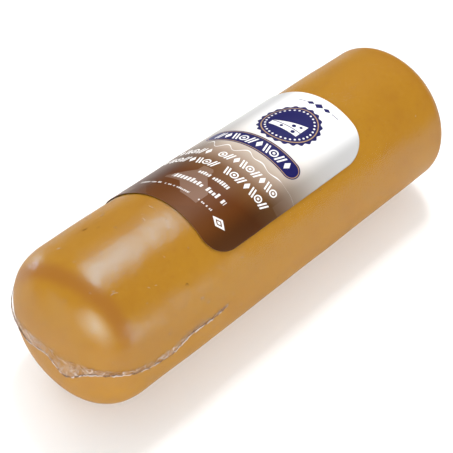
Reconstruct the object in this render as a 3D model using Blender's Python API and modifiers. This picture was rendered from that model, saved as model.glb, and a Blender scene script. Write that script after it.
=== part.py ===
"""A small smoked provolone log, shrunk tight into a clear film bag, with a printed label on top.

The log lies along X, its fuller dome at -X and its blunter end at +X, on a narrow flat strip that
it has settled onto.  Each end of the bag is closed by a straight heat seal at about mid height.
What is left of the film past the seal is a thin tail, folded down flat on the skin.  The label is
a sheet of its own, wrapped over the top of the bag.  Metres, +Z up, origin under the middle.
"""

import math

import bmesh
import bpy
import numpy as np

COLLECTION_NAME = "wrapped_provolone_log"

# The log.
RADIUS = 0.0260  # at the middle of its length
LENGTH = 0.1620
BELLY = 0.010  # how much fatter the middle is than the ends, as a share of the radius
NEAR_DOME_LENGTH = 0.0170
NEAR_DOME_POWER = 2.15  # 2 is an ellipse, more is squarer
FAR_DOME_LENGTH = 0.0119
FAR_DOME_POWER = 1.86
AXIS_HEIGHT = 0.02555  # less than RADIUS, so a flat strip is cut along the underside
LOG_SIDES = 72
DOME_STEPS = 12
BODY_STEPS = 8

# The label: places are measured along the log from its near end, and round it from the top.
LABEL_NEAR = 0.0497
LABEL_FAR = 0.1169
LABEL_RIGHT = math.radians(50.2)  # towards -Y
LABEL_LEFT = math.radians(70.0)  # towards +Y
LABEL_SKEW = 0.0028  # how far its end edges run on along the log for each radian round it
LABEL_BOW = 0.0020  # how far they bow back towards the near end, away from the top
NEAR_CORNER = 0.0080
FAR_CORNER = 0.0100
LABEL_THICKNESS = 0.00035
CLEARANCE = 0.0003
LABEL_ROWS = 26
LABEL_COLUMNS = 20

# The seal tails: distance along the skin from the middle of the end, positive towards -Y, the
# height of the tail's cut edge above the log's axis, and the tail's width up from that edge.
NEAR_TAIL = (
    (-0.066, 0.0030, 0.0010),
    (-0.056, 0.0022, 0.0016),
    (-0.042, 0.0034, 0.0022),
    (-0.030, 0.0040, 0.0030),
    (-0.020, 0.0028, 0.0042),
    (-0.011, 0.0036, 0.0046),
    (-0.004, 0.0034, 0.0050),
    (0.005, 0.0054, 0.0040),
    (0.011, 0.0006, 0.0084),
    (0.018, 0.0045, 0.0048),
    (0.026, 0.0050, 0.0020),
    (0.037, 0.0021, 0.0020),
    (0.045, 0.0010, 0.0026),
    (0.052, 0.0029, 0.0014),
    (0.060, 0.0025, 0.0010),
    (0.067, 0.0028, 0.0008),
)
FAR_TAIL = (
    (-0.036, 0.0020, 0.0010),
    (-0.026, 0.0034, 0.0024),
    (-0.016, 0.0016, 0.0046),
    (-0.006, 0.0030, 0.0050),
    (0.004, 0.0012, 0.0056),
    (0.013, 0.0032, 0.0030),
    (0.021, 0.0024, 0.0010),
)
TAIL_THICKNESS = 0.0010  # half of it is sunk into the skin
TAIL_STEPS = 3  # strips between two places in the lists above
TAIL_ROWS = 3

CHEESE_COLOUR = (0.53, 0.25, 0.045, 1.0)
LABEL_COLOUR = (0.30, 0.22, 0.17, 1.0)


def clear_scene():
    for old in list(bpy.data.objects):
        bpy.data.objects.remove(old, do_unlink=True)


def new_collection(name):
    collection = bpy.data.collections.new(name)
    bpy.context.scene.collection.children.link(collection)
    return collection


def new_material(name, colour, roughness):
    material = bpy.data.materials.new(name)
    material.use_nodes = True
    shader = material.node_tree.nodes["Principled BSDF"]
    shader.inputs["Base Color"].default_value = colour
    shader.inputs["Roughness"].default_value = roughness
    shader.inputs["Metallic"].default_value = 0.0
    return material


def add_object(name, mesh, collection):
    piece = bpy.data.objects.new(name, mesh)
    collection.objects.link(piece)
    return piece


def belly_factor(along):
    """The log's swelling at a distance from its near end: a parabola, 1 at the middle."""
    return (1 + BELLY * (1 - (2 * along / LENGTH - 1) ** 2)) / (1 + BELLY)


def dome_radius(depth, length, power):
    """Radius of a superellipse dome, as a share of the log's, at a depth from its pole."""
    reach = np.clip(1 - depth / length, 0, 1)
    return (1 - reach**power) ** (1 / power)


def skin_radius(along):
    near = dome_radius(along, NEAR_DOME_LENGTH, NEAR_DOME_POWER)
    far = dome_radius(LENGTH - along, FAR_DOME_LENGTH, FAR_DOME_POWER)
    return RADIUS * belly_factor(along) * near * far


def dome_depths(length, power):
    """Depths from the pole for even steps round a dome's outline."""
    turn = np.linspace(0, math.pi / 2, DOME_STEPS + 1)
    return length * (1 - np.cos(turn) ** (2 / power))


def log_outline():
    """Distances along the log and the radius there, pole to pole."""
    near = dome_depths(NEAR_DOME_LENGTH, NEAR_DOME_POWER)
    far = LENGTH - dome_depths(FAR_DOME_LENGTH, FAR_DOME_POWER)[::-1]
    body = np.linspace(near[-1], far[0], BODY_STEPS + 1)[1:-1]
    along = np.concatenate([near, body, far])
    return along, skin_radius(along)


def turned_log(collection):
    """The log's outline turned about its own axis, then laid down along X."""
    along, radius = log_outline()
    mesh = bpy.data.meshes.new("wrapped_cheese")
    profile = [(r, 0.0, s - LENGTH / 2) for s, r in zip(along[::-1], radius[::-1])]
    edges = [(i, i + 1) for i in range(len(profile) - 1)]
    mesh.from_pydata(profile, edges, [])
    log = add_object("wrapped_cheese", mesh, collection)
    log.rotation_euler = (0, math.pi / 2, 0)
    log.location = (0, 0, AXIS_HEIGHT)
    screw = log.modifiers.new("turn", "SCREW")
    screw.steps = LOG_SIDES
    screw.render_steps = LOG_SIDES
    screw.use_merge_vertices = True
    screw.merge_threshold = 0.00001
    screw.use_smooth_shade = True
    return log


def cut_rest_strip(log, cutters):
    """Cuts the underside off flat at Z = 0, which leaves a strip to rest on."""
    size = (1.2 * LENGTH, 3 * RADIUS, RADIUS)
    bpy.ops.mesh.primitive_cube_add(size=1, location=(0, 0, -RADIUS / 2))
    cutter = bpy.context.active_object
    cutter.name = "rest_cutter"
    cutter.scale = size
    move_to_collection(cutter, cutters)
    hide_cutter(cutter)
    join(log, cutter, "DIFFERENCE")


def move_to_collection(piece, collection):
    for holder in list(piece.users_collection):
        holder.objects.unlink(piece)
    collection.objects.link(piece)


def hide_cutter(piece):
    piece.hide_render = True
    piece.display_type = "WIRE"


def join(target, other, operation):
    boolean = target.modifiers.new(operation.lower(), "BOOLEAN")
    boolean.operation = operation
    boolean.object = other
    boolean.solver = "EXACT"


def end_outline(length, power):
    """Mid-height outline from a pole round the dome and along the side, with its arc length."""
    steps = np.linspace(0, math.pi / 2, 200)
    depth = length * (1 - np.cos(steps) ** (2 / power))
    depth = np.concatenate([depth, np.linspace(length, LENGTH / 2, 50)[1:]])
    radius = RADIUS * dome_radius(depth, length, power)
    run = np.concatenate([[0.0], np.cumsum(np.hypot(np.diff(depth), np.diff(radius)))])
    return run, depth, radius


def on_skin(distance, height, length, power):
    """Depth from the pole, Y and Z of skin points near mid height at one end of the log.

    A point on the mid-height outline is lifted by its height, then pushed out from the middle
    of the dome, or from the axis past it, until it is on the skin.
    """
    run, depths, radii = end_outline(length, power)
    depth = np.interp(abs(distance), run, depths)
    side = -np.sign(distance) * np.interp(abs(distance), run, radii)
    inward = np.maximum(1 - depth / length, 0)
    across = np.hypot(side, height) / RADIUS
    push = (inward**power + across**power) ** (-1 / power)
    depth = np.where(inward > 0, length * (1 - push * inward), depth)
    swell = push * belly_factor(depth)
    return depth, side * swell, height * swell


def grid_mesh(name, points):
    """A mesh of quads over a grid of points, given as rows x columns x 3."""
    rows, columns = points.shape[:2]
    shape = bmesh.new()
    bmesh.ops.create_grid(shape, x_segments=columns - 1, y_segments=rows - 1, size=1)
    shape.verts.ensure_lookup_table()
    for vert, place in zip(shape.verts, points.reshape(-1, 3)):
        vert.co = place
    mesh = bpy.data.meshes.new(name)
    shape.to_mesh(mesh)
    shape.free()
    return mesh


def seal_tail(name, tail, end, length, power, cutters):
    """A seal's tail: a strip along the skin, sunk half its thickness into it."""
    knots = np.arange(len(tail))
    steps = np.linspace(0, knots[-1], TAIL_STEPS * knots[-1] + 1)
    distance, edge, width = (np.interp(steps, knots, values)[:, None] for values in np.array(tail).T)
    height = edge + np.linspace(0, 1, TAIL_ROWS + 1) * width
    depth, y, z = on_skin(distance + 0 * height, height, length, power)
    x = end * (LENGTH / 2 - depth)
    points = np.stack([x, y, z + AXIS_HEIGHT], axis=2)
    if end < 0:
        points = points[:, ::-1]
    strip = add_object(name, grid_mesh(name, points), cutters)
    solidify = strip.modifiers.new("thickness", "SOLIDIFY")
    solidify.thickness = TAIL_THICKNESS
    solidify.offset = 0
    hide_cutter(strip)
    return strip


def corner_inset(distance, radius):
    """How far a rounded corner holds an edge back, at a distance from the end of the sheet."""
    left = np.clip(radius - distance, 0, radius)
    return radius - np.sqrt(radius**2 - left**2)


def label_rows():
    """Places along the label as shares of its length, closer together in its corners."""
    return (1 - np.cos(np.linspace(0, math.pi, LABEL_ROWS + 1))) / 2


def wrapped_label(collection):
    """A rounded sheet wrapped over the log at a small clearance, then given its thickness."""
    share = label_rows()[:, None]
    length = LABEL_FAR - LABEL_NEAR
    inset = corner_inset(share * length, NEAR_CORNER)
    inset = inset + corner_inset((1 - share) * length, FAR_CORNER)
    inset = inset / RADIUS
    across = np.linspace(0, 1, LABEL_COLUMNS + 1)[None, :]
    turn = -(LABEL_LEFT - inset) * (1 - across) + (LABEL_RIGHT - inset) * across
    along = LABEL_NEAR + share * length + LABEL_SKEW * turn - LABEL_BOW * (1 - np.cos(2 * turn))
    radius = skin_radius(along) + CLEARANCE
    y = -radius * np.sin(turn)
    z = radius * np.cos(turn) + AXIS_HEIGHT
    points = np.stack([along - LENGTH / 2, y, z], axis=2)
    label = add_object("label", grid_mesh("label", points), collection)
    solidify = label.modifiers.new("thickness", "SOLIDIFY")
    solidify.thickness = LABEL_THICKNESS
    solidify.offset = 1
    return label


def main():
    clear_scene()
    parts = new_collection(COLLECTION_NAME)
    cutters = new_collection("cutters")

    log = turned_log(parts)
    cut_rest_strip(log, cutters)
    near = ("near_seal_tail", NEAR_TAIL, -1, NEAR_DOME_LENGTH, NEAR_DOME_POWER)
    far = ("far_seal_tail", FAR_TAIL, 1, FAR_DOME_LENGTH, FAR_DOME_POWER)
    for tail in (near, far):
        join(log, seal_tail(*tail, cutters), "UNION")
    log.data.materials.append(new_material("wrapped_cheese", CHEESE_COLOUR, 0.3))

    label = wrapped_label(parts)
    label.data.materials.append(new_material("label", LABEL_COLOUR, 0.35))
    for polygon in label.data.polygons:
        polygon.use_smooth = True


main()
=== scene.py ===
"""A smoked provolone log, shrunk tight into a clear film bag, with a printed label over its top.

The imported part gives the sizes.  The wrapped log's solid is replaced by the cheese, the clear
skin of film round it, the bag's two seal tails and the film's fine creases, and the label's
solid by a thin printed sheet.  Places on the log are given as a distance along it from its near
end, at -X, and a turn round it from the top, positive towards -Y.
"""

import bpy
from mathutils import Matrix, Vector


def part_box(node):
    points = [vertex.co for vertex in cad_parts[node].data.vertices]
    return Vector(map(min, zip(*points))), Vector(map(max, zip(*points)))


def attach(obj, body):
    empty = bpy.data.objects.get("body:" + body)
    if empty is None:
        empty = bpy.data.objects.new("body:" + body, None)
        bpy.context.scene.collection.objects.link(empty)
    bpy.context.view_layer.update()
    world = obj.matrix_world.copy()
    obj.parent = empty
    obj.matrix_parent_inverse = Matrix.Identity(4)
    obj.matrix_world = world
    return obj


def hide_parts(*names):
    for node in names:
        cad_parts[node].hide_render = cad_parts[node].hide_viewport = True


bl_info = {
    "name": "Film-wrapped Provolone Log",
    "version": (1, 0, 0),
    "blender": (4, 5, 0),
    "location": "3D View > Sidebar > Provolone",
    "description": "Makes a smoked cheese log in clear film, its printed label and a small studio",
    "category": "Add Mesh",
}

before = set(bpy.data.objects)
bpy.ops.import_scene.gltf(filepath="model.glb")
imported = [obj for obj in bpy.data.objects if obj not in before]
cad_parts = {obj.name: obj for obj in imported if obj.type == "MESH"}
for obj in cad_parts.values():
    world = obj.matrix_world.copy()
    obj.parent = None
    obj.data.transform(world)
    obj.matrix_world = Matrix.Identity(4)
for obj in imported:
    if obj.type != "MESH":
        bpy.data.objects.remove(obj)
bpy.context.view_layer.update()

import math

import bpy
import numpy as np
from bpy.props import FloatProperty, FloatVectorProperty, IntProperty, PointerProperty
from mathutils import Matrix, Vector

LABEL_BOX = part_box("label")
BODY = "root"
MM = 0.001


# ---------------------------------------------------------------------------------------------
# Settings


class LogSettings(bpy.types.PropertyGroup):
    """The cheese log under its film."""

    radius: FloatProperty(
        name="Radius", description="At the middle of the log", default=0.0260, subtype="DISTANCE", unit="LENGTH"
    )
    length: FloatProperty(
        name="Length", description="From pole to pole", default=0.1620, subtype="DISTANCE", unit="LENGTH"
    )
    belly: FloatProperty(
        name="Belly", description="How much fatter the middle is than the ends, as a share", default=0.010
    )
    axis_height: FloatProperty(
        name="Axis height", description="Less than the radius, so it rests on a flat strip",
        default=0.02555, subtype="DISTANCE", unit="LENGTH",
    )
    near_dome: FloatProperty(
        name="Near dome", description="Depth of the fuller dome", default=0.0170, subtype="DISTANCE", unit="LENGTH"
    )
    near_power: FloatProperty(name="Near roundness", description="2 is an ellipse, more is squarer", default=2.15)
    far_dome: FloatProperty(
        name="Far dome", description="Depth of the blunter end", default=0.0119, subtype="DISTANCE", unit="LENGTH"
    )
    far_power: FloatProperty(name="Far roundness", description="2 is an ellipse, more is squarer", default=1.86)
    shoulder_step: FloatProperty(
        name="Shoulder step", description="How far the near dome is set in", default=0.00027,
        subtype="DISTANCE", unit="LENGTH",
    )
    lumps: FloatProperty(
        name="Lumps", description="Height of the log's slow swellings", default=0.00012,
        subtype="DISTANCE", unit="LENGTH",
    )
    rind: FloatVectorProperty(
        name="Rind", description="Smoked ochre rind", subtype="COLOR", size=3, default=(0.415, 0.190, 0.0065)
    )
    rind_dark: FloatVectorProperty(
        name="Rind, darker", description="Where the smoke took more", subtype="COLOR", size=3,
        default=(0.362, 0.152, 0.0060),
    )
    rind_light: FloatVectorProperty(
        name="Rind, lighter", description="Pale grains", subtype="COLOR", size=3, default=(0.455, 0.235, 0.033)
    )
    shoulder: FloatVectorProperty(
        name="Shoulders", description="Browner rind where the ends turn", subtype="COLOR", size=3,
        default=(0.325, 0.122, 0.009),
    )
    fleck: FloatVectorProperty(
        name="Flecks", description="Small dark flecks", subtype="COLOR", size=3, default=(0.26, 0.10, 0.012)
    )


class FilmSettings(bpy.types.PropertyGroup):
    """The clear bag and its seal tails."""

    gap: FloatProperty(
        name="Gap", description="From the cheese to the film", default=0.00015, subtype="DISTANCE", unit="LENGTH"
    )
    roughness: FloatProperty(name="Roughness", description="Of the film's gloss", default=0.31)
    gloss: FloatVectorProperty(
        name="Gloss", description="Cool tint of what the film mirrors", subtype="COLOR", size=3,
        default=(0.36, 0.74, 1.0),
    )
    edge: FloatVectorProperty(
        name="Cut edge", description="Bright cut edge of the film", subtype="COLOR", size=3,
        default=(0.58, 0.50, 0.47),
    )
    haze: FloatVectorProperty(
        name="Haze", description="Cloudy folded film", subtype="COLOR", size=3, default=(0.54, 0.33, 0.20)
    )
    haze_dark: FloatVectorProperty(
        name="Haze, darker", description="Folded film over shade", subtype="COLOR", size=3, default=(0.40, 0.20, 0.09)
    )
    pinch_dark: FloatVectorProperty(
        name="Pinch, shaded", description="Pinches that turn from the light", subtype="COLOR", size=3,
        default=(0.27, 0.12, 0.012),
    )
    pinch: FloatVectorProperty(
        name="Pinches", description="Small ridges in the film", subtype="COLOR", size=3, default=(0.66, 0.50, 0.33)
    )


class LabelSettings(bpy.types.PropertyGroup):
    """The printed label."""

    near: FloatProperty(
        name="Near edge", description="Along the log, at the top", default=0.0497, subtype="DISTANCE", unit="LENGTH"
    )
    far: FloatProperty(
        name="Far edge", description="Along the log, at the top", default=0.1169, subtype="DISTANCE", unit="LENGTH"
    )
    right: FloatProperty(
        name="Right edge", description="Turn from the top towards -Y", default=math.radians(50.2),
        subtype="ANGLE", unit="ROTATION",
    )
    left: FloatProperty(
        name="Left edge", description="Turn from the top towards +Y", default=math.radians(70.0),
        subtype="ANGLE", unit="ROTATION",
    )
    skew: FloatProperty(
        name="Skew", description="How far the end edges run on along the log for each radian", default=0.0028,
        subtype="DISTANCE", unit="LENGTH",
    )
    bow: FloatProperty(
        name="Bow", description="How far the end edges bow back away from the top", default=0.0020,
        subtype="DISTANCE", unit="LENGTH",
    )
    near_corner: FloatProperty(
        name="Near corners", description="Radius", default=0.0080, subtype="DISTANCE", unit="LENGTH"
    )
    far_corner: FloatProperty(
        name="Far corners", description="Radius", default=0.0100, subtype="DISTANCE", unit="LENGTH"
    )
    lift: FloatProperty(
        name="Lift", description="Above the film", default=0.00021, subtype="DISTANCE", unit="LENGTH"
    )
    thickness: FloatProperty(
        name="Thickness", description="Of the paper", default=0.00014, subtype="DISTANCE", unit="LENGTH"
    )


    navy: FloatVectorProperty(
        name="Navy ink", description="Of the rosette and the bar", subtype="COLOR", size=3,
        default=(0.010, 0.009, 0.095),
    )
    gold: FloatVectorProperty(
        name="Gold ink", description="Of the thin lines", subtype="COLOR", size=3, default=(0.42, 0.27, 0.13)
    )
    white: FloatVectorProperty(
        name="White ink", description="Of the rows", subtype="COLOR", size=3, default=(0.88, 0.87, 0.86)
    )
    roughness: FloatProperty(name="Roughness", description="Of the printed face", default=0.38)


class StageSettings(bpy.types.PropertyGroup):
    """The floor, the lights and the camera."""

    azimuth: FloatProperty(
        name="Azimuth", description="Of the camera, 0 looks along +Y", default=math.radians(-44.25),
        subtype="ANGLE", unit="ROTATION",
    )
    elevation: FloatProperty(
        name="Elevation", description="Of the camera", default=math.radians(46.62), subtype="ANGLE", unit="ROTATION"
    )
    distance: FloatProperty(
        name="Distance", description="From the camera to its aim", default=0.3061, subtype="DISTANCE", unit="LENGTH"
    )
    lens: FloatProperty(name="Lens", description="On a 36 mm sensor, in millimetres", default=75.5)


# ---------------------------------------------------------------------------------------------
# Meshes


def sheet_faces(rows, columns, wrap):
    """Quads of a grid of rows x columns points; wrap joins the last column to the first."""
    row = np.arange(rows - 1)[:, None] * columns
    column = np.arange(columns if wrap else columns - 1)[None, :]
    after = (column + 1) % columns
    quads = np.stack([row + column, row + after, row + after + columns, row + column + columns], axis=2)
    return quads.reshape(-1, 4)


def make_mesh(name, points, faces, coordinates=None):
    """A smooth mesh; coordinates, one pair a point, go into a UV map named sheet."""
    mesh = bpy.data.meshes.new(name)
    mesh.from_pydata(points, [], faces)
    if coordinates is not None:
        layer = mesh.uv_layers.new(name="sheet")
        corners = np.empty(len(mesh.loops), dtype=np.int32)
        mesh.loops.foreach_get("vertex_index", corners)
        layer.data.foreach_set("uv", coordinates[corners].astype(np.float32).ravel())
    mesh.update()
    mesh.shade_smooth()
    return mesh


def open_sheet(name, points, coordinates=None):
    """A sheet over a grid of points, facing the way that columns x rows does."""
    rows, columns = points.shape[:2]
    flat = None if coordinates is None else coordinates.reshape(-1, 2)
    return make_mesh(name, points.reshape(-1, 3), sheet_faces(rows, columns, False).tolist(), flat)


def closed_skin(name, points):
    """A skin round a grid of points whose first and last rows are poles and whose columns wrap."""
    rows, columns = points.shape[:2]
    rings = points[1:-1].reshape(-1, 3)
    poles = np.array([points[0, 0], points[-1, 0]])
    near, far = len(rings), len(rings) + 1
    quads = sheet_faces(rows - 2, columns, True).tolist()
    ring = np.arange(columns)
    after = (ring + 1) % columns
    last = (rows - 3) * columns
    fans = [(near, b, a) for a, b in zip(ring.tolist(), after.tolist())]
    fans += [(far, last + a, last + b) for a, b in zip(ring.tolist(), after.tolist())]
    return make_mesh(name, np.concatenate([rings, poles]), quads + fans)


def add_piece(name, mesh, material_list, node=None):
    """Links a finished mesh as a piece that rides on the body."""
    piece = bpy.data.objects.new(name, mesh)
    bpy.context.scene.collection.objects.link(piece)
    for material in material_list:
        mesh.materials.append(material)
    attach(piece, BODY)
    if node:
        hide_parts(node)
    return piece


# ---------------------------------------------------------------------------------------------
# The log's shape


class LogShape:
    """The log as a turned body: a parabola's belly between two superellipse domes."""

    def __init__(self, sizes):
        self.radius, self.length, self.belly = sizes.radius, sizes.length, sizes.belly
        self.axis_height, self.lumps, self.shoulder_step = sizes.axis_height, sizes.lumps, sizes.shoulder_step
        self.near = (sizes.near_dome, sizes.near_power)
        self.far = (sizes.far_dome, sizes.far_power)

    def swell(self, along):
        """1 at the middle, falling off as a parabola to 1 - belly, then a smooth step at the near shoulder."""
        parabola = (1 + self.belly * (1 - (2 * along / self.length - 1) ** 2)) / (1 + self.belly)
        step = np.clip((18.6 * MM - along) / (4.6 * MM), 0, 1)
        return parabola * (1 - self.shoulder_step / self.radius * step**2 * (3 - 2 * step))

    def dome(self, depth, end):
        """Share of the radius at a depth from an end's pole: (1 - (1 - depth / dome) ^ p) ^ (1 / p)."""
        length, power = end
        reach = np.clip(1 - depth / length, 0, 1)
        return (1 - reach**power) ** (1 / power)

    def skin_radius(self, along):
        domes = self.dome(along, self.near) * self.dome(self.length - along, self.far)
        return self.radius * self.swell(along) * domes

    def outline(self, steps):
        """Distance along, radius and outward normal at even steps of arc from pole to pole."""
        turn = np.linspace(0, math.pi / 2, 400)
        near = self.near[0] * (1 - np.cos(turn) ** (2 / self.near[1]))
        far = self.length - self.far[0] * (1 - np.cos(turn[::-1]) ** (2 / self.far[1]))
        along = np.concatenate([near, np.linspace(near[-1], far[0], 400)[1:-1], far])
        radius = self.skin_radius(along)
        run = np.concatenate([[0.0], np.cumsum(np.hypot(np.diff(along), np.diff(radius)))])
        even = np.linspace(0, run[-1], steps)
        along, radius = np.interp(even, run, along), np.interp(even, run, radius)
        normal = np.stack([-np.gradient(radius, even), np.gradient(along, even)])
        normal /= np.hypot(*normal)
        normal[:, 0], normal[:, -1] = (-1, 0), (1, 0)
        radius[[0, -1]] = 0.0
        return along, radius, normal

    def place(self, along, radius, turn):
        """X, Y and Z of points given by distance along, radius and turn."""
        x = along - self.length / 2
        return np.stack(np.broadcast_arrays(x, -radius * np.sin(turn), radius * np.cos(turn) + self.axis_height), -1)

    def lump(self, along, turn):
        """Slow swellings, as a sum of waves along the log and round it."""
        s = along / self.length * 2 * math.pi
        waves = np.sin(1.7 * s + 2 * turn + 0.4) + 0.8 * np.sin(3.1 * s - 3 * turn + 1.9)
        waves = waves + 0.5 * np.sin(5.3 * s + 4 * turn + 4.1) + 0.35 * np.sin(7.9 * s - 5 * turn + 0.7)
        fade = self.skin_radius(along) / self.radius
        return self.lumps / 2 * waves * fade

    def wrapped(self, steps, sides, lift):
        """Grid of points lifted off the outline along its normal; lift is a function of place."""
        along, radius, normal = self.outline(steps)
        turn = np.linspace(-math.pi, math.pi, sides, endpoint=False)[None, :]
        rise = lift(along[:, None], turn) + self.lump(along[:, None], turn)
        rise[[0, -1]] = rise[[0, -1]].mean(axis=1, keepdims=True)
        points = self.place(along[:, None] + rise * normal[0][:, None], radius[:, None] + rise * normal[1][:, None], turn)
        return points

    def side_outline(self, end):
        """Arc length, depth and radius of the mid-height outline from an end's pole to mid-log."""
        length, power = end
        turn = np.linspace(0, math.pi / 2, 600)
        depth = length * (1 - np.cos(turn) ** (2 / power))
        depth = np.concatenate([depth, np.linspace(length, self.length / 2, 200)[1:]])
        radius = self.radius * self.dome(depth, end)
        run = np.concatenate([[0.0], np.cumsum(np.hypot(np.diff(depth), np.diff(radius)))])
        return run, depth, radius

    def end_points(self, distance, height, side):
        """Skin points near mid height at the end on the given side, -1 near and 1 far.

        A point on the mid-height outline, a distance along it from the pole and positive towards
        -Y, is lifted by its height, then pushed out from the dome's middle, or from the axis past
        it, until it is on the skin.
        """
        end = self.near if side < 0 else self.far
        length, power = end
        run, depths, radii = self.side_outline(end)
        depth = np.interp(abs(distance), run, depths)
        y = -np.sign(distance) * np.interp(abs(distance), run, radii)
        inward = np.maximum(1 - depth / length, 0)
        across = np.hypot(y, height) / self.radius
        push = (inward**power + across**power) ** (-1 / power)
        depth = np.where(inward > 0, length * (1 - push * inward), depth)
        swell = push * self.swell(depth)
        along = depth if side < 0 else self.length - depth
        return np.stack([along - self.length / 2, y * swell, height * swell + self.axis_height], axis=-1)


def grid_normals(points):
    """Unit normals of a grid of points, facing the way that columns x rows does."""
    across = np.gradient(points, axis=1)
    along = np.gradient(points, axis=0)
    normal = np.cross(across, along)
    return normal / np.maximum(np.linalg.norm(normal, axis=2, keepdims=True), 1e-12)


# ---------------------------------------------------------------------------------------------
# Shader maths


class Socket:
    """A shader socket; arithmetic on it adds Math nodes."""

    def __init__(self, paint, socket):
        self.paint, self.socket = paint, socket

    def maths(self, operation, *others, first=None):
        values = [self if first is None else first, *others]
        return self.paint.add("ShaderNodeMath", {"operation": operation}, dict(enumerate(values)))

    def output(self, name):
        return Socket(self.paint, self.socket.node.outputs[name])

    def __add__(self, other):
        return self.maths("ADD", other)

    def __sub__(self, other):
        return self.maths("SUBTRACT", other)

    def __rsub__(self, other):
        return self.maths("SUBTRACT", self, first=other)

    def __mul__(self, other):
        return self.maths("MULTIPLY", other)

    def __truediv__(self, other):
        return self.maths("DIVIDE", other)

    def __rtruediv__(self, other):
        return self.maths("DIVIDE", self, first=other)

    def __pow__(self, other):
        return self.maths("POWER", other)

    def __abs__(self):
        return self.maths("ABSOLUTE")

    def __mod__(self, other):
        return self.maths("FLOORED_MODULO", other)

    __radd__, __rmul__ = __add__, __mul__

    def least(self, other):
        return self.maths("MINIMUM", other)

    def most(self, other):
        return self.maths("MAXIMUM", other)

    def floor(self):
        return self.maths("FLOOR")

    def root(self):
        return self.maths("SQRT")

    def sine(self):
        return self.maths("SINE")

    def within(self, half, soft=0.05):
        """1 where the value is nearer zero than half, with a soft edge."""
        return (half - abs(self)).rises(-soft, soft)

    def rises(self, low, high):
        """0 below low, 1 above high, and a smooth step between."""
        settings = {"interpolation_type": "SMOOTHSTEP"}
        return self.paint.add("ShaderNodeMapRange", settings, {"Value": self, "From Min": low, "From Max": high})


class Paint:
    """A material and its nodes."""

    def __init__(self, name):
        self.material = bpy.data.materials.new(name)
        self.material.use_nodes = True
        self.tree = self.material.node_tree
        self.tree.nodes.clear()

    def add(self, kind, settings, sockets, output=0):
        """Adds a node, sets its settings, then gives its sockets values or links."""
        node = self.tree.nodes.new(kind)
        for key, value in settings.items():
            if key == "stops":
                self.set_stops(node.color_ramp, value)
            else:
                setattr(node, key, value)
        for key, value in sockets.items():
            if isinstance(value, Socket):
                self.tree.links.new(value.socket, node.inputs[key])
            else:
                node.inputs[key].default_value = value
        return Socket(self, node.outputs[output])

    def set_stops(self, ramp, stops):
        while len(ramp.elements) < len(stops):
            ramp.elements.new(0.5)
        for element, (position, colour) in zip(ramp.elements, stops):
            element.position = position
            element.color = (*colour, 1.0)

    def blend(self, share, first, second):
        """Mixes two colours."""
        colours = {0: share, 6: opaque(first), 7: opaque(second)}
        return self.add("ShaderNodeMix", {"data_type": "RGBA"}, colours, output=2)

    def place(self):
        return self.add("ShaderNodeTexCoord", {}, {}, output="Object")

    def noise(self, where, scale, detail=3.0, roughness=0.5):
        sockets = {"Vector": where, "Scale": scale, "Detail": detail, "Roughness": roughness}
        return self.add("ShaderNodeTexNoise", {}, sockets, output=0)

    def bump(self, height, strength, distance):
        return self.add("ShaderNodeBump", {}, {"Height": height, "Strength": strength, "Distance": distance})

    def surface(self, shader):
        self.add_output(shader)
        return self.material

    def add_output(self, shader):
        node = self.tree.nodes.new("ShaderNodeOutputMaterial")
        self.tree.links.new(shader.socket, node.inputs["Surface"])


def opaque(colour):
    """A colour as a socket takes it, with its alpha; a link is left as it is."""
    return colour if isinstance(colour, Socket) else (*tuple(colour)[:3], 1.0)


# ---------------------------------------------------------------------------------------------
# Materials


def rind_material(colours):
    """Smoked rind: slow ochre mottling, a fine grain and a few darker flecks."""
    paint = Paint("smoked_rind")
    where = paint.place()
    slow = paint.noise(where, 34.0, 3.0).rises(0.36, 0.68)
    patch = paint.noise(where, 150.0, 2.0).rises(0.46, 0.72)
    grain = paint.noise(where, 620.0, 2.0, 0.5)
    colour = paint.blend(slow * 0.42 + patch * 0.30, colours.rind, colours.rind_dark)
    colour = paint.blend(grain.rises(0.52, 0.78) * 0.45, colour, colours.rind_dark)
    colour = paint.blend(grain.rises(0.46, 0.24) * 0.16, colour, colours.rind_light)
    fleck = paint.add("ShaderNodeTexVoronoi", {}, {"Vector": where, "Scale": 95.0}) + (1.0 - slow) * 0.04
    colour = paint.blend(fleck.rises(0.085, 0.045) * 0.55, colour, colours.fleck)
    x = paint.add("ShaderNodeSeparateXYZ", {}, {0: where})
    slant = x + x.output("Y").most(-0.0140) * 0.26
    shoulder = slant.rises(-0.0728, -0.0694) * slant.rises(-0.0646, -0.0684) * x.output("Z").rises(0.033, 0.043)
    colour = paint.blend(shoulder * 0.85, colour, colours.shoulder)
    colour = paint.blend(x.rises(0.0620, 0.0740) * 0.40, colour, colours.shoulder)
    sockets = {
        "Base Color": colour,
        "Roughness": 0.6,
        "Specular IOR Level": 0.1,
        "Normal": paint.bump(patch, 0.04, 0.3 * MM),
    }
    return paint.surface(paint.add("ShaderNodeBsdfPrincipled", {}, sockets))


def mirror_share(paint):
    """How much of the light a film mirrors: 4% head on, all of it at a grazing angle."""
    facing = paint.add("ShaderNodeLayerWeight", {}, {"Blend": 0.5}, output="Facing")
    return facing**5.0 * 0.10 + 0.04


def film_material(film):
    """Clear tight film: see-through, with a soft gloss that grows at grazing angles."""
    paint = Paint("clear_film")
    where = paint.place()
    ripple = paint.noise(where, 85.0, 1.0) + paint.noise(where, 300.0, 3.0, 0.6) * 0.26
    normal = paint.bump(ripple, 0.8, 0.6 * MM)
    gloss = paint.add(
        "ShaderNodeBsdfAnisotropic",
        {"distribution": "BECKMANN"},
        {"Color": opaque(film.gloss), "Roughness": film.roughness, "Normal": normal},
    )
    clear = paint.add("ShaderNodeBsdfTransparent", {}, {})
    return paint.surface(paint.add("ShaderNodeMixShader", {}, {0: mirror_share(paint), 1: clear, 2: gloss}))


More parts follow.
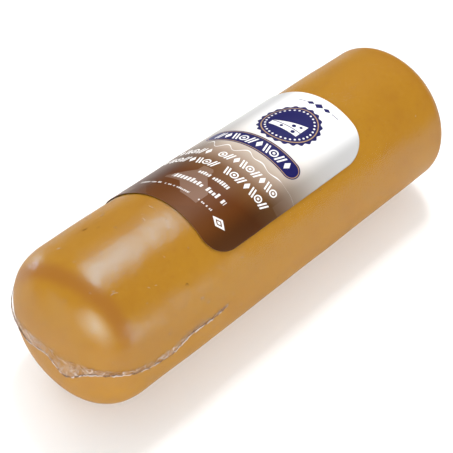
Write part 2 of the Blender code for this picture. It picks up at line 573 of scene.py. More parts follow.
def tail_material(film):
    """Cloudy folded film: clear at its root, clouded in drifts towards the cut edge."""
    paint = Paint("seal_tail_film")
    sheet = paint.add("ShaderNodeUVMap", {"uv_map": "sheet"}, {})
    split = paint.add("ShaderNodeSeparateXYZ", {}, {0: sheet})
    root = split.output("Y") * 10.0
    where = paint.place()
    swirl = paint.noise(where, 300.0, 2.0)
    vein = abs(paint.noise(where, 190.0, 3.0, 0.6) - 0.5).rises(0.018, 0.003)
    fold = abs(paint.noise(where, 520.0, 1.0) - 0.46).rises(0.030, 0.006)
    colour = paint.blend(swirl.rises(0.42, 0.60), film.haze, film.haze_dark)
    colour = paint.blend(vein.most(fold * 0.7) * 0.85, colour, (0.80, 0.70, 0.60))
    sockets = {
        "Base Color": colour,
        "Roughness": 0.20,
        "Normal": paint.bump(swirl, 0.8, 0.4 * MM),
    }
    dull = paint.add("ShaderNodeBsdfPrincipled", {}, sockets)
    clear = paint.add("ShaderNodeBsdfTransparent", {}, {})
    cloud = paint.noise(where, 120.0, 2.0).rises(0.36, 0.62)
    share = (cloud * 0.24 + vein * 0.36 + fold * 0.10 + 0.07) * root.rises(1.0, 0.40)
    return paint.surface(paint.add("ShaderNodeMixShader", {}, {0: share, 1: clear, 2: dull}))


def edge_material(film):
    """The thick cut edge of a tail, which shows as a bright line broken by shade."""
    paint = Paint("cut_film_edge")
    where = paint.place()
    broken = paint.noise(where, 380.0, 2.0, 0.6)
    colour = paint.blend(broken.rises(0.47, 0.56), film.edge, (0.20, 0.10, 0.05))
    dull = paint.add("ShaderNodeBsdfPrincipled", {}, {"Base Color": colour, "Roughness": 0.2})
    clear = paint.add("ShaderNodeBsdfTransparent", {}, {})
    share = broken.rises(0.74, 0.58) * 0.60 + 0.35
    return paint.surface(paint.add("ShaderNodeMixShader", {}, {0: share, 1: clear, 2: dull}))


def shade_material():
    """The shaded fold behind the cut edge, dark where the film doubles over."""
    paint = Paint("film_fold_shade")
    dull = paint.add("ShaderNodeBsdfPrincipled", {}, {"Base Color": (0.17, 0.085, 0.045, 1.0), "Roughness": 0.3})
    clear = paint.add("ShaderNodeBsdfTransparent", {}, {})
    share = paint.noise(paint.place(), 260.0, 2.0).rises(0.38, 0.60) * 0.48 + 0.06
    return paint.surface(paint.add("ShaderNodeMixShader", {}, {0: share, 1: clear, 2: dull}))


def crease_material(name, light, dark):
    """A small pinch in the film: a hazy, glossy ridge, light in some places and dark in others."""
    paint = Paint(name)
    where = paint.place()
    colour = paint.blend(paint.noise(where, 110.0, 1.0).rises(0.53, 0.58), light, dark)
    dull = paint.add("ShaderNodeBsdfPrincipled", {}, {"Base Color": colour, "Roughness": 0.18})
    clear = paint.add("ShaderNodeBsdfTransparent", {}, {})
    share = paint.noise(where, 700.0, 1.0).rises(0.30, 0.65) * 0.45 + 0.25
    return paint.surface(paint.add("ShaderNodeMixShader", {}, {0: share, 1: clear, 2: dull}))


def ornament_row(x, y, pitch, height, stroke):
    """A row of lozenges, slanted pairs of strokes and dotted rings, one to a pitch."""
    cell = (x / pitch).floor()
    p = (x / pitch % 1.0 - 0.5) * pitch
    turn = cell % 4.0
    odd = cell % 2.0
    size = 0.5 * height
    lozenge = (abs(p) * (size / (0.36 * pitch)) + abs(y) - size).rises(0.10, -0.10)
    slanted = (abs(p - y * (turn - 2.0) * 0.32) - 0.20 * pitch).within(stroke)
    reach = (p * p + y * y).root()
    ring = (reach - 0.72 * size).within(0.8 * stroke).most(reach.within(0.28 * size))
    round_kind = turn * 0.5 * (1.0 - odd)
    even_kinds = (1.0 - odd) * (1.0 - round_kind) * lozenge + round_kind * ring
    return (even_kinds + odd * slanted) * y.within(size)


def fine_row(paint, x, y, step, height, seed):
    """A row of fine dashes of uneven length."""
    cell = (x / step).floor() + seed
    settings = {"noise_dimensions": "1D"}
    chance = paint.add("ShaderNodeTexWhiteNoise", settings, {"W": cell})
    reach = paint.add("ShaderNodeTexWhiteNoise", settings, {"W": cell * 1.7}) * 0.45 + 0.55
    p = ((x / step) % 1.0 - 0.5) * step
    dash = p.within(0.33 * step, 0.06) * (y + (1.0 - reach) * 0.5 * height).within(reach * 0.5 * height, 0.06)
    return dash * chance.maths("GREATER_THAN", 0.14)


def brown_print(paint, a, b, sheet):
    """The ground: white running down to dark brown, with soft facets in the brown."""
    stops = [
        (0.02, (0.130, 0.038, 0.003)),
        (0.14, (0.113, 0.029, 0.001)),
        (0.22, (0.165, 0.072, 0.022)),
        (0.27, (0.320, 0.215, 0.150)),
        (0.32, (0.490, 0.405, 0.330)),
        (0.37, (0.680, 0.615, 0.555)),
        (0.42, (0.810, 0.775, 0.740)),
        (0.50, (0.890, 0.880, 0.870)),
        (0.60, (0.930, 0.930, 0.930)),
    ]
    sagging = a - (b - 9.0).most(0.0) * 0.32
    ground = paint.add("ShaderNodeValToRGB", {"stops": stops}, {0: sagging / 100.0})
    settings = {"feature": "F1", "voronoi_dimensions": "2D", "distance": "MANHATTAN"}
    sockets = {"Vector": sheet, "Scale": 8.5, "Randomness": 1.0}
    facet = paint.add("ShaderNodeTexVoronoi", settings, sockets, output="Color")
    shade = paint.add("ShaderNodeSeparateXYZ", {}, {0: facet})
    reach = a.rises(36.0, 14.0)
    light = (shade - 0.62).most(0.0) * 0.70 * reach
    deep = (0.45 - shade).most(0.0) * 0.40 * reach
    ground = paint.blend(light, ground, (0.55, 0.42, 0.34))
    ground = paint.blend(deep, ground, (0.07, 0.022, 0.006))
    sides = b.rises(12.5, 19.5) * 0.46 + b.rises(-6.0, -15.0) * 0.48
    return paint.blend(sides, ground, (0.006, 0.003, 0.001))


def rosette_print(paint, a, b, ground, inks):
    """A navy scalloped rosette with a gold ring, a ring of dots and a white wedge of cheese."""
    x, y = (b - 1.0) * 0.94, (a - 50.6) * 0.94
    reach = (x * x + y * y).root()
    turn = y.maths("ARCTAN2", x)
    scallop = (turn * 22.0).sine() * 0.30
    ground = paint.blend((reach - scallop).rises(8.85, 8.72), ground, inks["navy"])
    ground = paint.blend((reach - 7.75).within(0.16), ground, inks["gold"])
    spoke = turn / (math.pi / 16)
    along = (spoke % 1.0 - 0.5) * (math.pi / 16) * 6.75
    dots = (along * along + (reach - 6.75) * (reach - 6.75)).root().rises(0.36, 0.26)
    ground = paint.blend(dots, ground, inks["white"])
    slope = y - x * 0.36 - 0.55
    wedge = (x + 4.9).rises(-0.05, 0.05) * (4.6 - x).rises(-0.05, 0.05) * (y + 3.2).rises(-0.05, 0.05)
    wedge = wedge * slope.rises(0.05, -0.05)
    rind = (y + 1.3).within(0.14)
    holes = rind
    for hole_x, hole_y, radius in ((1.4, -0.15, 0.62), (3.3, 0.6, 0.45), (-1.3, -2.2, 0.5), (2.7, -2.3, 0.62)):
        dx, dy = x - hole_x, y - hole_y
        holes = holes.most((dx * dx + dy * dy).root().rises(radius + 0.05, radius - 0.05))
    ground = paint.blend(wedge, ground, inks["white"])
    return paint.blend(wedge * holes, ground, inks["navy"])


def banner_print(paint, a, b, ground, inks):
    """A navy bar with rounded ends, a gold hairline and a row of white ornament."""
    x, y = b + 0.5, a - 37.0
    reach = ((abs(x) - 14.0).most(0.0) ** 2.0 + y * y).root()
    ground = paint.blend(reach.rises(3.20, 3.10), ground, inks["navy"])
    ground = paint.blend((reach - 2.68).within(0.12), ground, inks["gold"])
    row = ornament_row(x, y, 2.75, 3.3, 0.29) * x.within(13.75)
    return paint.blend(row, ground, inks["white"])


def flourish_print(paint, a, b, ground, inks):
    """A thin white pen wave that dies away along the sheet."""
    x, y = b + 14.0, a - 31.2
    life = x.rises(30.0, 2.0)
    wave = (x * 0.95).sine() * (life * 1.1 + 0.15) + (x * 0.42 + 1.0).sine() * 0.5
    pen = ((x * 0.95 + 0.9).sine() * 0.07 + 0.15) * x.rises(0.0, 1.2) * x.rises(30.0, 27.0)
    stroke = (pen - abs(y - wave)).rises(-0.06, 0.06)
    return paint.blend(stroke * 0.92, ground, inks["white"])


def rows_print(paint, a, b, ground, inks):
    """Two tall rows of ornament, fine dashed rows under them and a small badge."""
    upper = ornament_row(b, a - 26.9, 2.5, 3.0, 0.27) * (b + 1.25).within(18.75) * (b + 6.25).maths("ABSOLUTE").rises(1.2, 1.3)
    lower = ornament_row(b + 1.25, a - 21.6, 2.5, 3.0, 0.27) * (b + 1.25).within(20.0) * (b - 0.0).maths("ABSOLUTE").rises(1.2, 1.3)
    white = upper.most(lower)
    fine = fine_row(paint, b, a - 16.7, 0.85, 1.5, 3.0) * (b - 1.5).within(6.4)
    fine = fine.most(fine_row(paint, b, a - 12.2, 1.15, 2.0, 31.0) * (b - 1.2).within(9.6))
    fine = fine.most(fine_row(paint, b, a - 7.4, 0.60, 0.9, 77.0) * (b + 7.4).within(8.8))
    fine = fine.most(fine_row(paint, b, a - 7.4, 0.60, 0.9, 57.0) * (b - 7.4).within(2.6))
    x, y = abs(b - 14.2), a - 6.4
    badge = (x * 0.55 + abs(y) - 1.5).rises(0.08, -0.08) * (x * 0.55 + abs(y) - 0.85).rises(-0.08, 0.08)
    badge = badge.most((x * 0.55 + abs(y) - 0.45).rises(0.08, -0.08))
    ground = paint.blend(white.most(badge), ground, inks["white"])
    ground = paint.blend(fine * 0.85, ground, inks["white"])
    x, y = abs(b - 1.6), a - 63.2
    sprig = (x * 0.8 + abs(y) - 1.25).rises(0.08, -0.08)
    leaf = ((x - 3.0) * 0.62).maths("ABSOLUTE") + abs(y) - 0.85
    sprig = sprig.most(leaf.rises(0.08, -0.08)).most(y.within(0.14) * (x - 6.2).within(1.3))
    return paint.blend(sprig, ground, inks["navy"])


def label_material(sizes):
    """The printed face, in millimetres along the label and across it, the rows a little aslant."""
    paint = Paint("label_print")
    sheet = paint.add("ShaderNodeUVMap", {"uv_map": "sheet"}, {})
    split = paint.add("ShaderNodeSeparateXYZ", {}, {0: sheet})
    b = (split.output("Y") - 0.5) * 100.0
    a = split.output("X") * 100.0
    row = a - b * 0.06
    inks = {"navy": sizes.navy, "gold": sizes.gold, "white": sizes.white}
    ground = brown_print(paint, a, b, sheet)
    for layer in (rosette_print, banner_print, flourish_print, rows_print):
        ground = layer(paint, row, b, ground, inks)
    curl = paint.noise(paint.place(), 60.0, 2.0)
    sockets = {
        "Base Color": ground,
        "Roughness": sizes.roughness,
        "Specular IOR Level": 0.17,
        "Normal": paint.bump(curl, 0.06, 0.3 * MM),
    }
    return paint.surface(paint.add("ShaderNodeBsdfPrincipled", {}, sockets))


def cut_paper_material(sizes):
    """The label's cut edge: white paper, stained brown where the print is brown."""
    paint = Paint("label_cut_edge")
    x = paint.add("ShaderNodeSeparateXYZ", {}, {0: paint.place()})
    colour = paint.blend(x.rises(-0.012, 0.012), (0.26, 0.13, 0.06), (0.95, 0.95, 0.95))
    return paint.surface(paint.add("ShaderNodeBsdfPrincipled", {}, {"Base Color": colour, "Roughness": 0.5}))


def floor_material():
    """A pale sheet that glows a little, like a lit studio table."""
    paint = Paint("pale_floor")
    sockets = {
        "Base Color": (0.85, 0.85, 0.85, 1.0),
        "Roughness": 0.9,
        "Emission Color": (1.0, 1.0, 1.0, 1.0),
        "Emission Strength": 0.20,
    }
    return paint.surface(paint.add("ShaderNodeBsdfPrincipled", {}, sockets))


# ---------------------------------------------------------------------------------------------
# Pieces


def settle(points, height):
    """Flattens whatever reaches below a height, as the log's weight does on its strip."""
    points[..., 2] = np.maximum(points[..., 2], height)
    return points


def cheese_mesh(shape, film):
    points = shape.wrapped(360, 240, lambda along, turn: 0 * along * turn - film.gap)
    return closed_skin("provolone", settle(points, film.gap))


def film_mesh(shape):
    points = shape.wrapped(380, 240, lambda along, turn: 0 * along * turn)
    return closed_skin("film_skin", settle(points, 0.0))


NEAR_TAIL = (
    (-66, 3.0, 0.6),
    (-56, 2.2, 0.8),
    (-42, 3.4, 1.0),
    (-30, 4.0, 1.2),
    (-20, 2.8, 1.4),
    (-11, 3.6, 2.8),
    (-4, 3.4, 4.6),
    (5, 5.4, 4.0),
    (11, 0.6, 8.4),
    (18, 4.5, 3.6),
    (26, 5.0, 1.2),
    (37, 2.1, 1.6),
    (45, 1.0, 1.9),
    (52, 2.9, 1.4),
    (60, 2.5, 1.0),
    (67, 2.8, 0.8),
)
FAR_TAIL = (
    (-36, 2.0, 1.0),
    (-26, 3.4, 2.4),
    (-16, 1.6, 4.6),
    (-6, 3.0, 5.0),
    (4, 1.2, 5.6),
    (13, 3.2, 3.0),
    (21, 2.4, 1.0),
)


def smooth_route(tail, steps):
    """Distance, edge height and width along a tail, curving gently through its knots."""
    knots = np.arange(len(tail))
    fine = np.linspace(0, knots[-1], steps)
    table = np.array(tail, float) * MM
    columns = []
    for values in table.T:
        slope = np.gradient(values)
        index = np.minimum(fine.astype(int), len(tail) - 2)
        t = fine - index
        start, end = values[index], values[index + 1]
        rise, fall = slope[index], slope[index + 1]
        blend = t * t * (3 - 2 * t)
        curve = (1 - blend) * (start + rise * t * 0.6) + blend * (end - fall * (1 - t) * 0.6)
        columns.append(curve[:, None])
    return columns


def crinkle(distance, share):
    """Fine folds of shrunk film, as waves that cross at slants and swell in places."""
    t = distance / MM
    folds = np.sin(2.3 * t + 5 * share) * np.sin(0.9 * t - 7 * share + 1.0)
    folds = folds + 0.6 * np.sin(4.1 * t - 9 * share + 2.0) + 0.4 * np.sin(7.3 * t + 13 * share)
    return folds * (0.6 + 0.4 * np.sin(0.37 * t + 0.8))


def tail_edge_points(shape, tail, side, steps):
    """The cut edge of a tail, lifted off the film by its own uneven amount."""
    distance, edge, width = smooth_route(tail, steps)
    ragged = 0.10 * MM * (np.sin(distance / MM * 3.1) + np.sin(distance / MM * 5.7 + 1.0))
    return distance, edge + ragged, width


def tail_sheet(shape, tail, side, steps=900, columns=22):
    """Points and sheet coordinates of a tail, from its cut edge (share 0) to its root (share 1)."""
    distance, edge, width = tail_edge_points(shape, tail, side, steps)
    share = np.linspace(0, 1, columns)[None, :]
    points = shape.end_points(distance + 0 * share, edge + share * (width + 0.6 * MM), side)
    normal = grid_normals(points)
    normal = normal * np.sign((normal * (points - (0, 0, shape.axis_height))).sum(axis=2, keepdims=True))
    ends = np.clip(np.linspace(0, 1, steps) * 12, 0, 1) * np.clip(np.linspace(1, 0, steps) * 12, 0, 1)
    lift = 0.04 + (0.34 * (1 - share) ** 1.5 + 0.07 * crinkle(distance, share) * (1 - share)) * ends[:, None]
    points = points + normal * (np.maximum(lift, 0.04) * MM)[..., None]
    coordinates = np.stack([distance * 10 + 0 * share, share / 10 + 0 * distance], axis=2)
    return points, coordinates


def tail_mesh(name, shape, tail, side):
    """A seal tail, a thin strip that lifts off the film towards its cut edge."""
    points, coordinates = tail_sheet(shape, tail, side)
    if side < 0:
        points, coordinates = points[:, ::-1], coordinates[:, ::-1]
    return open_sheet(name, points, coordinates)


def tube_mesh(name, paths, radii):
    """Round tubes along paths, their ends drawn to a point; six sides each."""
    sides = 6
    turn = np.linspace(0, 2 * math.pi, sides, endpoint=False)
    all_points, all_faces, start = [], [], 0
    for path, radius in zip(paths, radii):
        ahead = np.gradient(path, axis=0)
        ahead /= np.maximum(np.linalg.norm(ahead, axis=1, keepdims=True), 1e-9)
        aside = np.cross(ahead, (0.0, 0.0, 1.0) + 0 * ahead)
        aside /= np.maximum(np.linalg.norm(aside, axis=1, keepdims=True), 1e-9)
        above = np.cross(aside, ahead)
        ring = aside[:, None] * np.cos(turn)[None, :, None] + above[:, None] * np.sin(turn)[None, :, None]
        points = path[:, None] + ring * np.asarray(radius)[:, None, None]
        rows = len(path)
        faces = sheet_faces(rows, sides, True) + start
        all_points.append(points.reshape(-1, 3))
        all_faces += faces[:, ::-1].tolist()
        all_faces.append([start + side for side in range(sides)])
        all_faces.append([start + (rows - 1) * sides + side for side in reversed(range(sides))])
        start += rows * sides
    return make_mesh(name, np.concatenate(all_points), all_faces)


def tail_edge_mesh(name, shape, tail, side, inward, radius):
    """A round line along a tail's cut edge or a little inward of it, thicker in places."""
    points, _ = tail_sheet(shape, tail, side)
    across = points[:, 4] - points[:, 0]
    across /= np.linalg.norm(across, axis=1, keepdims=True)
    path = points[:, 0] + across * inward
    along = np.linspace(0, 1, len(path))
    uneven = 1 + 0.40 * np.sin(along * 190) * np.sin(along * 47 + 1) + 0.25 * np.sin(along * 23)
    taper = np.clip(along * 40, 0.1, 1) * np.clip((1 - along) * 40, 0.1, 1)
    return tube_mesh(name, [path], [radius * np.maximum(uneven, 0.3) * taper])


# Creases in the near tail: distance along, height above the cut edge, length, heading from the
# edge and how much it curls.  Lengths in millimetres, angles in degrees.
TAIL_CREASES = (
    (-8.5, 1.6, 2.2, 20, 120),
    (-7.0, 1.2, 1.8, -30, -80),
    (-3.0, 2.2, 3.0, -20, 20),
    (2.0, 2.4, 3.0, 10, 30),
    (6.5, 3.4, 3.0, 0, -40),
    (9.3, 5.4, 2.6, 30, 50),
    (13.4, 5.4, 5.0, 0, -70),
    (14.0, 3.0, 4.5, 0, 70),
    (13.2, 4.2, 2.4, 20, 110),
    (17.0, 2.8, 2.2, -50, 30),
    (18.6, 2.0, 1.6, 200, 20),
    (19.2, 1.3, 1.9, 60, 20),
    (18.9, 0.6, 1.7, 10, -30),
    (11.8, 1.6, 2.4, 70, 40),
    (24.0, 0.9, 2.5, -5, 20),
    (31.0, 0.8, 2.0, 5, -20),
    (38.5, 0.8, 2.2, -8, 30),
    (47.0, 0.8, 1.6, 5, 20),
)


def between(points, rows, columns):
    """Points of a grid at rows and columns that needn't be whole, by straight blending."""
    rows = np.clip(rows, 0, points.shape[0] - 1.001)
    columns = np.clip(columns, 0, points.shape[1] - 1.001)
    row, column = rows.astype(int), columns.astype(int)
    down, across = (rows - row)[:, None], (columns - column)[:, None]
    first = points[row, column] * (1 - across) + points[row, column + 1] * across
    second = points[row + 1, column] * (1 - across) + points[row + 1, column + 1] * across
    return first * (1 - down) + second * down


def tail_crease_mesh(name, shape, tail, side):
    """Fine raised creases that wander over a tail."""
    points, coordinates = tail_sheet(shape, tail, side)
    _, _, width = smooth_route(tail, len(points))
    table = np.array(TAIL_CREASES, float)
    step = np.linspace(-0.5, 0.5, 17)
    way = np.radians(table[:, 3:4] + table[:, 4:5] * step * 2)
    along = np.cumsum(np.cos(way), axis=1) * table[:, 2:3] / 17
    up = np.cumsum(np.sin(way), axis=1) * table[:, 2:3] / 17
    along = (along - along.mean(axis=1, keepdims=True) + table[:, 0:1]) * MM
    up = (up - up.mean(axis=1, keepdims=True) + table[:, 1:2]) * MM
    rows = np.interp(along, coordinates[:, 0, 0] / 10, np.arange(len(points)))
    room = np.interp(rows, np.arange(len(points)), width[:, 0]) + 0.6 * MM
    columns = up / room * (points.shape[1] - 1)
    paths = [between(points, row, column) for row, column in zip(rows, columns)]
    radius = 0.13 * MM * np.maximum(np.cos(step * math.pi * 0.98), 0.06)
    return tube_mesh(name, paths, [radius] * len(paths))


# Pinches in the film: distance along, turn, length, heading from the log's axis and how much it
# curls.  Lengths in millimetres, angles in degrees.
PINCHES = (
    (17.8, 30.0, 3.0, 12, 40),
    (18.9, 27.5, 1.4, 20, -30),
    (7.9, 13.8, 1.1, 20, 40),
    (32.7, -7.7, 1.8, 60, 60),
    (40.7, -1.6, 2.2, 95, 40),
    (41.4, -3.4, 1.2, 20, 30),
    (45.8, -7.1, 2.4, 85, -20),
    (17.0, -20.8, 1.5, 30, 40),
    (30.9, 16.3, 1.2, 120, 60),
    (9.8, 24.9, 0.9, 60, -80),
    (46.0, 8.0, 1.6, 140, 50),
    (29.6, -16.0, 1.4, 15, 30),
    (26.5, -22.0, 2.0, 10, 25),
    (33.5, -26.0, 2.4, 5, -20),
    (37.2, 28.0, 1.0, 80, 60),
    (28.0, 38.0, 1.1, 50, 30),
    (44.9, 32.0, 1.1, 100, 80),
    (27.2, 72.0, 1.6, 40, 120),
    (38.4, 52.0, 2.2, 30, 150),
    (41.0, 66.5, 2.8, 20, 140),
    (43.2, 69.0, 1.8, 160, 120),
    (139.3, 64.0, 1.4, 30, 40),
)


def pinch_paths(shape, seed=11, strays=70):
    """Centre lines of the listed pinches and of small stray ones all round the log."""
    rng = np.random.default_rng(seed)
    along = rng.uniform(0.006, shape.length - 0.006, strays) / MM
    stray = np.stack(
        [along, rng.uniform(-180, 180, strays), rng.uniform(0.5, 1.3, strays), rng.uniform(0, 180, strays),
         rng.uniform(-90, 90, strays)], axis=1,
    )
    paths, radii = [], []
    for along, turn, length, heading, curl in np.concatenate([np.array(PINCHES, float), stray]).tolist():
        step = np.linspace(-0.5, 0.5, 13)
        way = np.radians(heading + curl * step * 2)
        s = (along + np.cumsum(np.cos(way)) * length / 13) * MM
        arc = np.radians(turn) + np.cumsum(np.sin(way)) * length / 13 * MM / shape.radius
        radius = shape.skin_radius(s) + shape.lump(s, arc) + 0.03 * MM
        paths.append(settle(shape.place(s, radius, arc), 0.12 * MM))
        fat = 0.12 if length > 1.4 else 0.08
        radii.append(fat * MM * np.maximum(np.cos(step * math.pi * 0.98), 0.06))
    return paths, radii


def label_grid(shape, sizes, rows, columns, lift):
    """The label's points and its sheet coordinates, in tenths of a metre along and across.

    Rows run from the near edge to the far one, close together in the corners.  A row's ends are
    held back by the corners' arcs.
    """
    share = (1 - np.cos(np.linspace(0, math.pi, rows)))[:, None] / 2
    length = sizes.far - sizes.near
    inset = corner_inset(share * length, sizes.near_corner)
    inset = (inset + corner_inset((1 - share) * length, sizes.far_corner)) / shape.radius
    across = np.linspace(0, 1, columns)[None, :]
    turn = -(sizes.left - inset) * (1 - across) + (sizes.right - inset) * across
    along = sizes.near + share * length + sizes.skew * turn - sizes.bow * (1 - np.cos(2 * turn))
    radius = shape.skin_radius(along) + lift + shape.lump(along, turn)
    coordinates = np.stack([share * length * 10 + 0 * turn, turn * shape.radius * 10 + 0.5], axis=2)
    return shape.place(along, radius, turn), coordinates


def corner_inset(distance, radius):
    """How far a rounded corner holds an edge back, at a distance from the end of the sheet."""
    left = np.clip(radius - distance, 0, radius)
    return radius - np.sqrt(radius**2 - left**2)


# ---------------------------------------------------------------------------------------------
# Operators


class PROVOLONE_OT_cheese(bpy.types.Operator):
    """Make the smoked cheese log"""

    bl_idname = "provolone.cheese"
    bl_label = "Cheese Log"

    def execute(self, context):
        scene = context.scene
        shape = LogShape(scene.provolone_log)
        mesh = cheese_mesh(shape, scene.provolone_film)
        add_piece("provolone", mesh, [rind_material(scene.provolone_log)], "wrapped_cheese")
        return {"FINISHED"}


class PROVOLONE_OT_film(bpy.types.Operator):
    """Make the clear bag: its tight skin and its two seal tails"""

    bl_idname = "provolone.film"
    bl_label = "Film Bag"

    def execute(self, context):
        scene = context.scene
        shape = LogShape(scene.provolone_log)
        add_piece("film_skin", film_mesh(shape), [film_material(scene.provolone_film)], "wrapped_cheese")
        film = scene.provolone_film
        tail, edge, shade = tail_material(film), edge_material(film), shade_material()
        for name, route, side in (("near_seal", NEAR_TAIL, -1), ("far_seal", FAR_TAIL, 1)):
            piece = add_piece(name + "_tail", tail_mesh(name + "_tail", shape, route, side), [tail], "wrapped_cheese")
            solidify = piece.modifiers.new("film", "SOLIDIFY")
            solidify.thickness = 0.05 * MM
            solidify.offset = 0
            lip = tail_edge_mesh(name + "_lip", shape, route, side, 0.0, 0.16 * MM)
            add_piece(name + "_lip", lip, [edge], "wrapped_cheese")
            fold = tail_edge_mesh(name + "_fold", shape, route, side, 0.34 * MM, 0.10 * MM)
            add_piece(name + "_fold", fold, [shade], "wrapped_cheese")
        creases = tail_crease_mesh("near_seal_creases", shape, NEAR_TAIL, -1)
        folded = crease_material("tail_crease", film.pinch, film.haze)
        add_piece("near_seal_creases", creases, [folded], "wrapped_cheese")
        pinches = tube_mesh("film_pinches", *pinch_paths(shape))
        pinched = crease_material("film_pinch", film.pinch, film.pinch_dark)
        add_piece("film_pinches", pinches, [pinched], "wrapped_cheese")
        return {"FINISHED"}


class PROVOLONE_OT_label(bpy.types.Operator):
    """Make the printed label"""

    bl_idname = "provolone.label"
    bl_label = "Printed Label"

    def execute(self, context):
        scene = context.scene
        sizes = scene.provolone_label
        points, coordinates = label_grid(LogShape(scene.provolone_log), sizes, 160, 140, sizes.lift)
        mesh = open_sheet("printed_label", points, coordinates)
        materials = [label_material(sizes), cut_paper_material(sizes)]
        piece = add_piece("printed_label", mesh, materials, "label")
        solidify = piece.modifiers.new("paper", "SOLIDIFY")
        solidify.thickness = sizes.thickness
        solidify.offset = 1
        solidify.material_offset_rim = 1
        return {"FINISHED"}


def softbox(name, direction, distance, size, radiance, colour=(1, 1, 1)):
    """A rectangular light that faces the log, its first side level and along X.

    Radiance is what its face shows in a mirror.
    """
    light = bpy.data.lights.new(name, "AREA")
    light.shape = "RECTANGLE"
    light.size, light.size_y = size
    light.energy = radiance * math.pi * size[0] * size[1]
    light.color = colour
    holder = bpy.data.objects.new(name, light)
    bpy.context.scene.collection.objects.link(holder)
    away = Vector(direction).normalized()
    level = Vector((1, 0, 0)) - away * away.x
    level.normalize()
    holder.matrix_world = Matrix((level, away.cross(level), away)).transposed().to_4x4()
    holder.location = away * distance
    return holder


class PROVOLONE_OT_stage(bpy.types.Operator):
    """Set up the floor, the lights and the camera"""

    bl_idname = "provolone.stage"
    bl_label = "Studio"

    def execute(self, context):
        scene = context.scene
        stage = scene.provolone_stage
        floor = make_mesh("floor", np.array([(-0.9, -0.9, 0), (0.9, -0.9, 0), (0.9, 0.9, 0), (-0.9, 0.9, 0)], float) + (0, 0, -0.00005), [(0, 1, 2, 3)])
        floor_object = bpy.data.objects.new("floor", floor)
        floor.materials.append(floor_material())
        scene.collection.objects.link(floor_object)
        softbox("key_softbox", (0.40, 0.36, 0.85), 1.2, (0.30, 0.96), 1.35)
        softbox("key_core", (0.36, 0.22, 1.08), 1.15, (0.22, 0.20), 36.0).visible_glossy = False
        white, warm = (1, 1, 1), (1.0, 0.82, 0.66)
        for name, place, distance, size, radiance, colour in (
            ("shoulder_softbox", (0.28, 0.18, 1.08), 1.15, (0.12, 0.62), 27.0, white),
            ("camera_side_softbox", (-0.74, -0.48, 0.54), 1.2, (0.76, 0.62), 6.6, warm),
            ("camera_side_glow", (-0.52, -0.64, 0.46), 1.2, (0.66, 0.76), 5.6, warm),
            ("end_glow", (-0.92, 0.15, 0.16), 1.2, (1.30, 0.76), 1.7, warm),
            ("low_right_softbox", (0.20, -0.95, 0.18), 1.2, (0.12, 0.26), 18.0, white),
            ("back_strip", (-0.08, 0.40, 0.035), 0.40, (0.10, 0.06), 14.0, white),
        ):
            softbox(name, place, distance, size, radiance, colour).visible_diffuse = False
        for name, direction, size, radiance in (
            ("back_fill", (0.3, 0.8, 0.5), (1.2, 1.2), 2.2),
            ("top_fill", (-0.1, 0.2, 1.0), (1.0, 1.0), 0.9),
            ("right_fill", (0.3, -0.88, 0.32), (1.2, 0.9), 2.4),
            ("end_fill", (-0.95, -0.28, 0.12), (1.2, 0.36), 10.0),
        ):
            softbox(name, direction, 1.6, size, radiance).visible_glossy = False
        make_world(scene)
        place_camera(scene, stage)
        scene.view_settings.view_transform = "Standard"
        return {"FINISHED"}


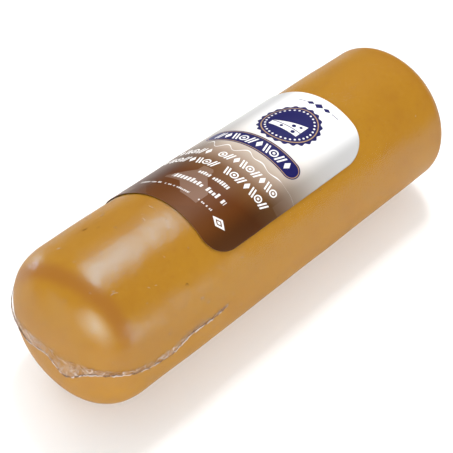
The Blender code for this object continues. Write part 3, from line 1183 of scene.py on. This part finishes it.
def make_world(scene):
    """A pale room; in a gloss it shows as a pale horizon under a dark ceiling."""
    world = bpy.data.worlds.new("studio")
    scene.world = world
    world.use_nodes = True
    nodes, links = world.node_tree.nodes, world.node_tree.links
    room = nodes["Background"]
    room.inputs["Color"].default_value = (0.57, 0.57, 0.57, 1)
    split = nodes.new("ShaderNodeSeparateXYZ")
    links.new(nodes.new("ShaderNodeTexCoord").outputs["Generated"], split.inputs[0])
    ramp = nodes.new("ShaderNodeValToRGB")
    ramp.color_ramp.elements[0].position = 0.01
    ramp.color_ramp.elements[0].color = (0.32, 0.32, 0.32, 1)
    ramp.color_ramp.elements[1].position = 0.08
    ramp.color_ramp.elements[1].color = (0.08, 0.08, 0.08, 1)
    links.new(split.outputs["Z"], ramp.inputs[0])
    mirrored = nodes.new("ShaderNodeBackground")
    links.new(ramp.outputs[0], mirrored.inputs["Color"])
    choice = nodes.new("ShaderNodeMixShader")
    rays = nodes.new("ShaderNodeLightPath")
    paper = nodes.new("ShaderNodeBackground")
    paper.inputs["Color"].default_value = (1, 1, 1, 1)
    links.new(rays.outputs["Is Glossy Ray"], choice.inputs[0])
    backdrop = nodes.new("ShaderNodeMixShader")
    links.new(rays.outputs["Is Diffuse Ray"], backdrop.inputs[0])
    links.new(paper.outputs[0], backdrop.inputs[1])
    links.new(room.outputs[0], backdrop.inputs[2])
    links.new(backdrop.outputs[0], choice.inputs[1])
    links.new(mirrored.outputs[0], choice.inputs[2])
    links.new(choice.outputs[0], nodes["World Output"].inputs["Surface"])


def place_camera(scene, stage):
    """A long lens, aimed a little off the middle of the log."""
    data = bpy.data.cameras.new("camera")
    data.sensor_width = 36.0
    data.lens = stage.lens
    camera = bpy.data.objects.new("camera", data)
    scene.collection.objects.link(camera)
    log = scene.provolone_log
    unit = log.radius / (1 + log.belly)
    aim = Vector((-0.236 * unit, 0.048 * unit, log.axis_height - 0.124 * unit))
    flat = math.cos(stage.elevation)
    back = Vector(
        (math.sin(stage.azimuth) * flat, -math.cos(stage.azimuth) * flat, math.sin(stage.elevation))
    )
    camera.location = aim + back * stage.distance
    camera.rotation_euler = (-back).to_track_quat("-Z", "Y").to_euler()
    scene.camera = camera


class VIEW3D_PT_provolone(bpy.types.Panel):
    """Lists the pieces"""

    bl_label = "Provolone"
    bl_space_type = "VIEW_3D"
    bl_region_type = "UI"
    bl_category = "Provolone"

    def draw(self, context):
        for operator in OPERATORS:
            self.layout.operator(operator.bl_idname)


SETTINGS = (
    ("provolone_log", LogSettings),
    ("provolone_film", FilmSettings),
    ("provolone_label", LabelSettings),
    ("provolone_stage", StageSettings),
)
OPERATORS = (PROVOLONE_OT_cheese, PROVOLONE_OT_film, PROVOLONE_OT_label, PROVOLONE_OT_stage)


def register():
    for name, group in SETTINGS:
        bpy.utils.register_class(group)
        setattr(bpy.types.Scene, name, PointerProperty(type=group))
    for operator in OPERATORS:
        bpy.utils.register_class(operator)
    bpy.utils.register_class(VIEW3D_PT_provolone)


def unregister():
    bpy.utils.unregister_class(VIEW3D_PT_provolone)
    for operator in reversed(OPERATORS):
        bpy.utils.unregister_class(operator)
    for name, group in reversed(SETTINGS):
        delattr(bpy.types.Scene, name)
        bpy.utils.unregister_class(group)


def main():
    register()
    bpy.ops.provolone.cheese()
    bpy.ops.provolone.film()
    bpy.ops.provolone.label()
    bpy.ops.provolone.stage()


if __name__ == "__main__":
    main()
